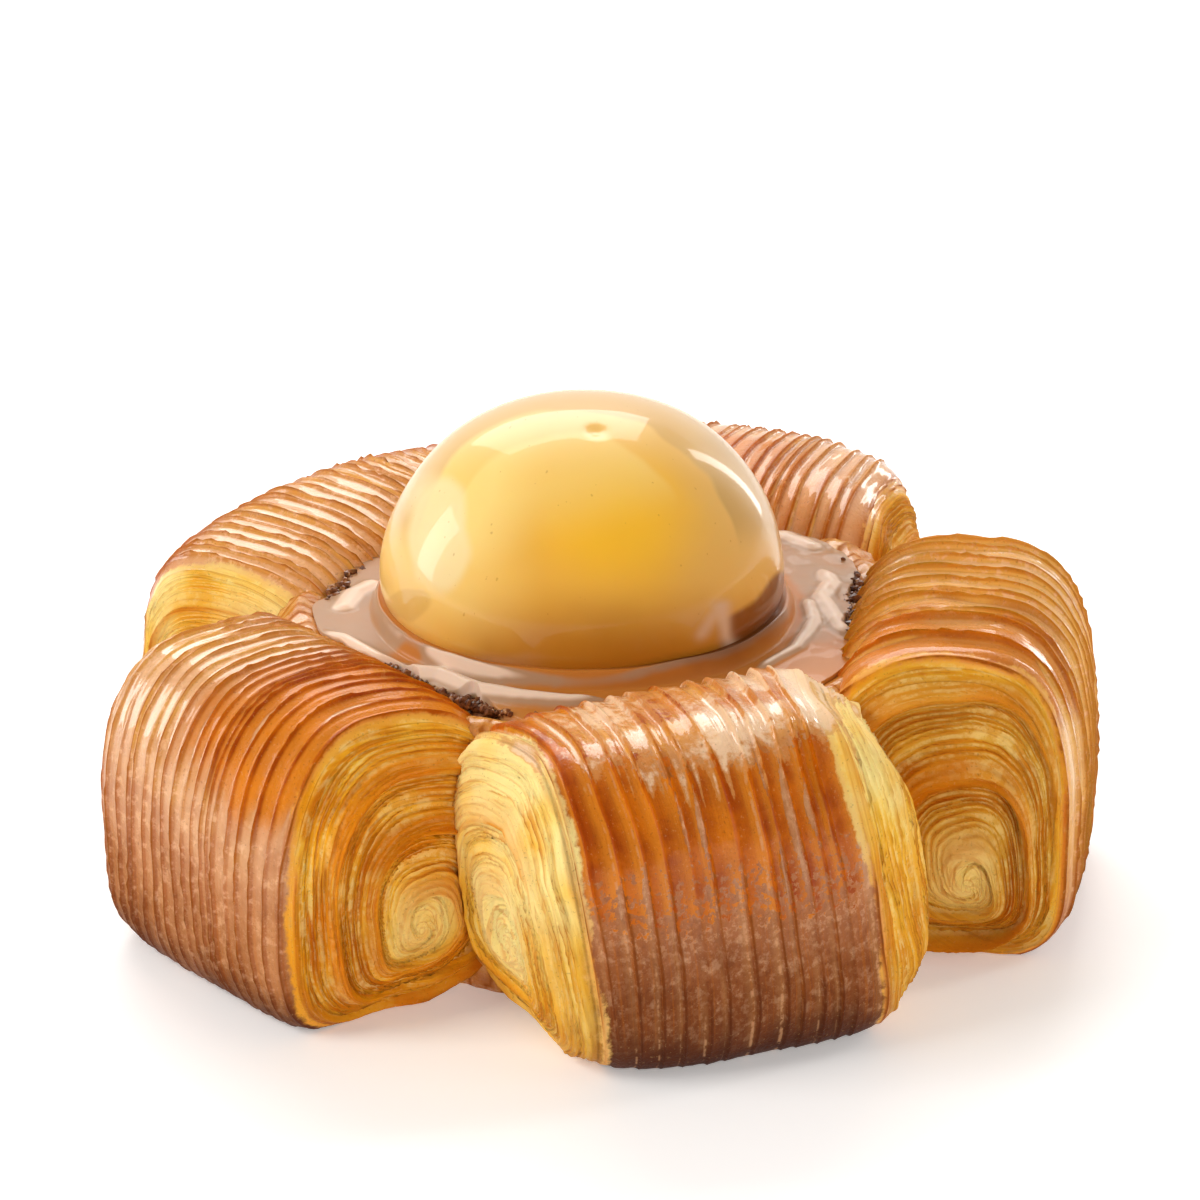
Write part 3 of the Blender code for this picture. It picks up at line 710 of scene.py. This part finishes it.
def poolMaterial():
    # caramel mirror glaze with cream: cooked sugar and gelatine, poured warm and set, so it is glass smooth and
    # shows the sky; where the cream gathers it is a pinkish beige
    material, add = newMaterial("creamyCaramelGlaze", poolLooks)
    milk, deep = (add("Attribute", attribute_name=name, output="Fac") for name in ("milk", "deep"))
    swirl = add("TexNoise", Vector=add("TexCoord", output="Object"), Scale=1000 / 7, Detail=2.0, Roughness=0.5,
                Distortion=0.8)
    # milk paints cream; on the bead and the flat left side it is partly a painted highlight and reflection
    milky = add("ADD", milk, ("MULTIPLY_ADD", swirl, 0.4, -0.2))
    colour = add("Mix", ("MapRange", milky, 0.2, 0.6), "caramel", "milk")
    colour = add("Mix", ("MapRange", milky, 0.65, 1.0), colour, "cream")
    # darker where the dome stands over the glaze: painted shade and reflection
    colour = add("Mix", ("MapRange", deep, 0.2, 0.9), colour, "deep")
    bump = add("Bump", Strength=0.15, Distance=0.0004, Height=swirl)
    add("OutputMaterial", add("BsdfPrincipled", **{
        "Base Color": colour, "Normal": bump, "Roughness": 0.35, "IOR": 1.25,
        "Coat Weight": 0.2, "Coat Roughness": 0.05, "Coat IOR": 1.4,
        "Subsurface Weight": 0.15, "Subsurface Radius": (1.0, 0.5, 0.2), "Subsurface Scale": 0.002}))
    return material


def distanceToPath(x, y, path):
    # shortest distance from each point to a broken line, and the share along it
    best, where, done = np.full(x.shape, 1e9), np.zeros(x.shape), 0.0
    path = np.array(path, float)
    pieces = np.linalg.norm(np.diff(path, axis=0), axis=1)
    for a, b, size in zip(path[:-1], path[1:], pieces):
        t = np.clip(((x - a[0]) * (b[0] - a[0]) + (y - a[1]) * (b[1] - a[1])) / size ** 2, 0, 1)
        d = np.hypot(x - a[0] - t * (b[0] - a[0]), y - a[1] - t * (b[1] - a[1]))
        closer = d < best
        best, where = np.where(closer, d, best), np.where(closer, (done + t * size) / pieces.sum(), where)
        done += size
    return best, where


def buildPool(material):
    # a ring of glaze between the dome and the well's edge: level, with smooth ropes of glaze that ran and set on it
    look = poolLooks
    angle = roundTheWell(look["columns"])
    share = np.linspace(0, 1, look["rows"])[:, None]
    middleX, middleY = look["middle"]
    c, s = np.cos(angle), np.sin(angle)

    def uneven(times, at, seed):
        # noise round the ring, finer with more times
        return noise3(c * times, s * times, at, seed)

    def towards(degrees, low, high):
        # 1 in one direction from the middle, and 0 away from it
        return smooth(low, high, np.cos(angle - math.radians(degrees)))

    bare = bareDepth(np.degrees(angle))
    edgeRadius = wellRadius(angle) + 0.9 + 0.5 * uneven(5, 0, 91) + 0.3 * uneven(16, 0, 92)
    edgeRadius = edgeRadius - bare * (1.15 + 0.3 * uneven(22, 0, 90))
    innerX, innerY = middleX + look["inner"] * c, middleY + look["inner"] * s
    x, y = innerX + (edgeRadius * c - innerX) * share, innerY + (edgeRadius * s - innerY) * share
    fromDome = np.hypot(x - middleX, y - middleY)

    # the glaze climbs to the dome's foot and ends there in a thin bead, whose paleness is partly a painted highlight
    wander = 0.35 * uneven(1.5, 1, 94)
    z = look["level"] + 0.25 * cloud(x / 8, y / 8, 0, 2, 93)
    z = z + look["footRise"] * smooth(look["footReach"], 24.0, fromDome + wander) ** 1.3
    footLine = np.exp(-((fromDome - 24.3 - wander) / 0.34) ** 2) * (0.75 + 0.35 * uneven(2, 2, 95))
    z = z + 0.35 * footLine
    rope = np.zeros(x.shape)
    for path, high, wide in look["ropes"]:
        distance, where = distanceToPath(x, y, path)
        taper = smooth(0, 0.15, where) * smooth(1, 0.85, where)
        one = np.exp(-(distance / (wide * (0.6 + 0.4 * taper))) ** 2) * taper
        z = z + high * one
        rope = np.maximum(rope, one)
    crinkled = towards(14, 0.6, 0.95) * smooth(24.5, 27, fromDome)
    z = z + crinkled * 0.30 * cloud(x / 2.6, y / 2.6, 0, 2, 98)
    z = z - 1.2 * smooth(0.0, 1.2, bare) * smooth(0.93, 1.0, share) ** 2
    leftFlat = towards(190, 0.1, 0.8) * smooth(0.1, 0.3, share)
    island = np.exp(-(((x + 20.5) / 3.6) ** 2 + ((y + 14.5) / 2.0) ** 2) ** 2)
    # milk is cream on the ropes and the crinkled right side; on the bead it is partly a painted highlight and on the
    # flat left side partly a painted reflection of the bright room
    milk = 0.02 + 0.95 * rope + 0.5 * leftFlat * (1 - island) + 0.45 * crinkled + 0.75 * footLine
    # darker near the dome's foot at the front right: painted shade and reflection of the dome
    deep = 0.8 * towards(-40, 0.5, 1.0) * smooth(0.35, 0.05, share)

    # three more rings close it below the crumb
    under = np.full(look["columns"], look["under"])
    below = [(x[-1] * 0.995, y[-1] * 0.995, z[-1] - 1.2), (x[-1] * 0.94, y[-1] * 0.94, under),
             (x[0] * 1.02, y[0] * 1.02, under)]
    points = np.concatenate([np.stack([x, y, z], -1), np.moveaxis(np.array(below), 1, -1)])
    tail = np.zeros((len(below), look["columns"]))
    values = {"milk": np.concatenate([np.clip(milk, 0, 1), tail + 0.3]), "deep": np.concatenate([deep, tail])}
    return makePiece("caramel_pool", material, points,
                     gridFaces(len(points), look["columns"], closed=True)[:, ::-1], values=values)


poolPiece = buildPool(poolMaterial())
print("glaze made")


domeLooks = {
    "middle": (-2, 0), "radius": 23.6, "floor": 33.1, "widest": 36.5, "top": 57.9, "highest": 58.2,
    "rows": 206, "floorRows": 6, "footRows": 9, "columns": 440,
    # besides gold these colours are painted light: pale the lit left side, cream painted highlights and a window's
    # reflection, core a painted glow, tan, cap, ochre, olive and brown painted shade and dark reflections, milk painted
    # pale reflections; ochre also colours small specks
    "gold": "#EEB448", "core": "#FFC030", "cream": "#F8E0A4", "pale": "#FBD67C", "tan": "#E2AE5C", "cap": "#D8AA60",
    "ochre": "#B87418", "olive": "#B8862A", "brown": "#7A3A08", "milk": "#D8B494",
}


def domeMaterial():
    # mango mousse under a clear yellow mirror glaze: light goes in and comes back warm, and the skin is wet-glossy
    material, add = newMaterial("yellowMirrorGlaze", domeLooks)
    place = add("TexCoord", output="Object")
    colour = "gold"
    # each attribute lays one painted light colour over the gold
    for name in ("tan", "ochre", "core", "pale", "cap", "cream", "olive", "brown", "milk"):
        colour = add("Mix", add("Attribute", attribute_name=name, output="Fac"), colour, name)
    specks = add("TexNoise", Vector=place, Scale=1000 / 0.7, Detail=1.0, Roughness=0.4)
    colour = add("Mix", ("MULTIPLY", ("MapRange", specks, 0.76, 0.8), 0.4), colour, "ochre")
    cloudy = add("TexNoise", Vector=place, Scale=1000 / 16, Detail=2.0, Roughness=0.5)
    bump = add("Bump", Strength=0.12, Distance=0.0006, Height=cloudy)
    add("OutputMaterial", add("BsdfPrincipled", **{
        "Base Color": colour, "Normal": bump, "Roughness": 0.35, "IOR": 1.33,
        "Coat Weight": 0.5, "Coat Roughness": 0.05, "Coat IOR": 1.45,
        "Subsurface Weight": 0.15, "Subsurface Radius": (1.0, 0.6, 0.15), "Subsurface Scale": 0.003}))
    return material


def domePaintedLight(x, y, z):
    # how strongly each painted light colour shows on the glaze: lit and shaded sides, painted highlights and
    # reflections and a painted glow, on a disc tilted 23 degrees: u to the side, v upwards
    look = domeLooks
    dx, dy = (x - look["middle"][0]) / look["radius"], (y - look["middle"][1]) / look["radius"]
    dz = (z - look["widest"]) / (look["top"] - look["widest"])
    warp, fine = noise3(x / 7, y / 7, z / 7, 111), noise3(x / 2.6, y / 2.6, z / 2.6, 112)
    u = dx + 0.045 * warp + 0.012 * fine
    v = 0.388 * dy + 0.922 * dz + 0.045 * noise3(x / 7, y / 7, z / 7, 113) + 0.012 * fine

    def oval(cu, cv, ru, rv, low, high):
        return smooth(high, low, np.hypot((u - cu) / ru, (v - cv) / rv))

    def streak(path, width):
        return np.exp(-(distanceToPath(u, v, path)[0] / width) ** 2)

    # outside the painted reflection of a window above, its edge softer towards the back
    blur = 0.15 * smooth(0.05, 0.5, dy)
    outsideWindowReflection = 1 - oval(-0.05, 0.10, 0.78, 0.78, 0.985 - blur, 1.02 + blur)
    # a painted dark reflection of the pool at the lower right, with painted pale reflections in it
    corner = smooth(0.0, 0.05 + blur, -0.20 + (u - 0.68) * 0.75 - v) * smooth(0.62, 0.72, u)
    paleReflections = np.maximum(streak(((0.66, -0.16), (0.68, -0.33), (0.73, -0.46)), 0.035),
                      0.8 * streak(((0.66, -0.18), (0.57, -0.30)), 0.035))
    # a painted highlight band on the left
    leftHighlight = oval(-0.70, 0.22, 0.20, 0.34, 0.75, 1.05)
    # tan is painted shade on the right, ochre painted shade and reflection low down, core a painted glow, pale painted
    # light on the upper left and the left side, cap painted shade at the top rim, cream painted highlight and the
    # window's reflection, olive painted shade at the upper right rim and a small dark patch, brown and milk painted
    # dark and pale reflections
    return {
        "tan": 0.75 * smooth(0.25, 0.8, u),
        "ochre": 0.9 * smooth(0.02, -0.42, v) * smooth(-0.75, -0.45, u),
        "core": 0.95 * oval(0.15, 0.28, 0.50, 0.50, 0.15, 1.0),
        "pale": 0.55 * oval(-0.08, 0.30, 0.52, 0.46, 0.93, 1.02) * smooth(0.15, 0.55, v - 0.35 * u)
                + 0.7 * smooth(-0.15, -0.6, u) * smooth(-0.45, -0.1, v),
        "cap": 0.8 * outsideWindowReflection * smooth(0.1, 0.35, v),
        "cream": np.clip(0.85 * leftHighlight + 0.25 * (1 - outsideWindowReflection) * smooth(0.5, 0.8, v), 0, 0.9),
        "olive": 0.3 * oval(-0.86, -0.14, 0.11, 0.07, 0.8, 1.1)
                + 0.5 * outsideWindowReflection * smooth(0.45, 0.7, u) * smooth(0.1, 0.3, v) * smooth(0.5, 0.1, dy),
        "brown": 0.9 * corner,
        "milk": 0.9 * paleReflections + 0.35 * smooth(-0.36, -0.42, v) * smooth(-0.1, -0.5, u),
    }


def buildDome(material):
    # rings of a flattened half ball, a short foot and a closed floor; soft dents and a dimple near the top
    look = domeLooks
    angle = roundTheWell(look["columns"])
    bottom, widest, top = look["floor"], look["widest"], look["top"]
    floorRows, footRows = look["floorRows"], look["footRows"]
    lift = np.linspace(0, math.pi / 2, look["rows"] - floorRows - footRows + 1)[:-1]
    radius = np.concatenate([
        np.linspace(1.0, look["radius"] - 1.2, floorRows),
        look["radius"] - 0.9 + 0.9 * np.sin(np.linspace(0.1, math.pi / 2, footRows)),
        look["radius"] * np.cos(lift)])[:, None]
    height = np.concatenate([
        np.full(floorRows, bottom), np.linspace(bottom + 0.05, widest - 0.25, footRows),
        widest + (top - widest) * np.sin(lift)])[:, None]
    x, y, z = radius * np.cos(angle), radius * np.sin(angle), height + 0 * angle
    soft = 0.35 * noise3(x / 13, y / 13, z / 13, 101)
    dimple = -0.55 * np.exp(-(((x - 1.5) ** 2 + (y + 6.5) ** 2 + (z - 56.3) ** 2) / 1.1 ** 2))
    grow = 1 + (soft + dimple) * smooth(bottom, bottom + 3, z) / 24
    x, y = x * grow + look["middle"][0], y * grow + look["middle"][1]
    z = np.minimum(bottom + (z - bottom) * grow, look["highest"])
    ends = [(*look["middle"], bottom), (*look["middle"], z[-1].mean())]
    points = np.concatenate([np.stack([x, y, z], -1).reshape(-1, 3), ends])
    return makePiece("yellow_dome", material, points, gridFaces(*z.shape), endFans(*z.shape), domePaintedLight(*points.T))


domePiece = buildDome(domeMaterial())
print("dome made")

for piece in doughPieces:
    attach(piece, "root")
    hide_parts("croissant_flower")
for piece in crumbPieces:
    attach(piece, "root")
    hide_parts("chocolate_crumb")
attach(poolPiece, "root")
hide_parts("glaze_pool")
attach(domePiece, "root")
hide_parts("dome")


studio = {"elevation": 22.8, "distance": 0.5723, "target": (0, 0, 0.0332), "lens": 146.2,
          "skyFront": 0.14, "skyBack": 0.55, "tableGlow": 0.25,
          # each lamp: place, width, height, power, colour, and whether its reflection and its light show
          "lamps": (("keyLeft", (-0.62, -0.22, 0.48), 0.40, 0.40, 3.6, (1.0, 0.98, 0.95), False, True),
                    ("shineLeft", (-0.86, 0.17, 0.27), 0.25, 0.50, 2.1, (1.0, 1.0, 1.0), True, False),
                    ("topBack", (-0.10, 0.60, 0.60), 0.70, 0.40, 4.1, (1.0, 0.99, 0.97), True, True),
                    ("backCard", (0.0, 1.05, 0.30), 1.90, 0.60, 2.4, (1.0, 1.0, 1.0), True, True),
                    ("fillRight", (0.80, -0.25, 0.40), 0.40, 0.40, 0.6, (1.0, 0.98, 0.95), False, True),
                    ("rimRight", (0.65, 0.20, 0.35), 0.10, 0.50, 1.3, (1.0, 0.98, 0.95), False, True),
                    ("shineRight", (0.50, 0.62, 0.20), 0.08, 0.60, 1.25, (1.0, 0.99, 0.97), True, False),
                    ("front", (0.25, -0.85, 0.42), 0.35, 0.35, 2.3, (1.0, 0.98, 0.95), False, True))}


def buildStudio():
    # an opaque white table, a dim room, lamps and the camera
    scene = bpy.context.scene
    scene.view_settings.view_transform = "Standard"
    wide, under = 3, -0.0002
    floorMesh = bpy.data.meshes.new("floor")
    floorMesh.from_pydata([(-wide, -wide, under), (wide, -wide, under), (wide, wide, under), (-wide, wide, under)],
                          [], [(0, 1, 2, 3)])
    floor = bpy.data.objects.new("floor", floorMesh)
    scene.collection.objects.link(floor)

    # matt white paper on a table, which glows a little so that it stays white
    material, add = newMaterial("whiteTable")
    add("OutputMaterial", add("BsdfPrincipled", **{
        "Base Color": (0.92, 0.92, 0.92, 1), "Roughness": 0.5,
        "Emission Color": (1, 0.995, 0.98, 1), "Emission Strength": studio["tableGlow"]}))
    floorMesh.materials.append(material)

    # a room that is dim in front and bright behind
    world = bpy.data.worlds.new("studioRoom")
    world.use_nodes = True
    add = functools.partial(addNode, world.node_tree, {})
    behind = add("SeparateXYZ", add("TexCoord", output="Generated"), output="Y")
    bright = add("MapRange", behind, -0.6, 0.7, studio["skyFront"], studio["skyBack"], interpolation_type="LINEAR")
    background = world.node_tree.nodes["Background"]
    world.node_tree.links.new(bright, background.inputs["Strength"])
    background.inputs["Color"].default_value = (1.0, 1.0, 0.99, 1)
    scene.world = world

    for name, place, width, height, power, colour, reflected, lighting in studio["lamps"]:
        lamp = bpy.data.lights.new(name, "AREA")
        lamp.shape, lamp.size, lamp.size_y, lamp.energy, lamp.color = "RECTANGLE", width, height, power, colour
        light = bpy.data.objects.new(name, lamp)
        light.visible_glossy, light.visible_diffuse = reflected, lighting
        light.location = place
        light.rotation_euler = (Vector((0, 0, 0.03)) - Vector(place)).to_track_quat("-Z", "Y").to_euler()
        scene.collection.objects.link(light)

    lift = math.radians(studio["elevation"])
    target = Vector(studio["target"])
    camera = bpy.data.objects.new("camera", bpy.data.cameras.new("camera"))
    camera.data.lens = studio["lens"]
    camera.data.sensor_width = 36
    camera.data.clip_start, camera.data.clip_end = 0.01, 20
    camera.location = target + Vector((0, -math.cos(lift), math.sin(lift))) * studio["distance"]
    camera.rotation_euler = (target - camera.location).to_track_quat("-Z", "Y").to_euler()
    scene.collection.objects.link(camera)
    scene.camera = camera


buildStudio()
print("studio made")
